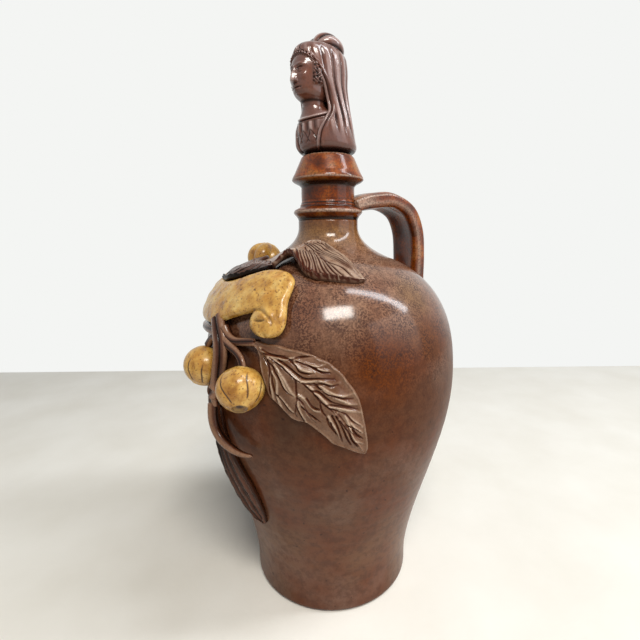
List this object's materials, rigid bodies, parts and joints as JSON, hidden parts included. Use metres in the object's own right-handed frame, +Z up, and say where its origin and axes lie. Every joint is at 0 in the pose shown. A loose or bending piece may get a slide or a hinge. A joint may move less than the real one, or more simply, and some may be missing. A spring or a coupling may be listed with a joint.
{
  "type": "figural stoneware flask",
  "caption": "Salt-glazed stoneware spirit flask with a strap handle, applied apples, leaves and ribbon, and a cork stopper topped by a veiled bust.",
  "frame": {"origin": "centre of the foot, on the surface the flask stands on", "axes": "+Z up along the turned vessel's axis, -Y towards the middle of the ribbon, +Y towards the handle"},
  "size_m": [0.1204, 0.1307, 0.2586],
  "materials": {
    "salt_glaze": "glossy reddish-brown salt glaze with fine dark speckle",
    "leaf_glaze": "satin purple-brown glaze, darker in the recesses",
    "ochre_slip": "glossy ochre slip with brown specks",
    "bust_glaze": "satin greyish-brown glaze",
    "cork": "matt cork"
  },
  "bodies": {
    "vessel": {"thrown_body": "salt_glaze", "neck_and_lip": "salt_glaze", "strap_handle": "salt_glaze", "scroll_banner": "ochre_slip", "branch": "leaf_glaze", "branch_stub": "leaf_glaze", "leaf_right": "leaf_glaze", "leaf_left": "leaf_glaze", "leaf_low": "leaf_glaze", "leaf_shoulder_right": "leaf_glaze", "leaf_shoulder_left": "leaf_glaze", "stalk_leaf_right": "leaf_glaze", "stalk_leaf_left": "leaf_glaze", "stalk_apple_front": "leaf_glaze", "stalk_apple_left": "leaf_glaze", "stalk_apple_upper": "leaf_glaze", "apple_front": "ochre_slip", "apple_left": "ochre_slip", "apple_upper": "ochre_slip"},
    "cork": {"cork_plug": "cork"},
    "stopper": {"bust_torso": "bust_glaze", "bust_head": "bust_glaze", "bust_veil": "bust_glaze"}
  },
  "joints": [
    {"name": "stopper_lift", "type": "slide", "parent": "vessel", "child": "cork", "axis": [0, 0, 1], "range_m": [0, 0.03]},
    {"name": "stopper_turn", "type": "hinge", "parent": "cork", "child": "stopper", "pos_m": [0, 0, 0.2035], "axis": [0, 0, 1], "continuous": true}
  ]
}
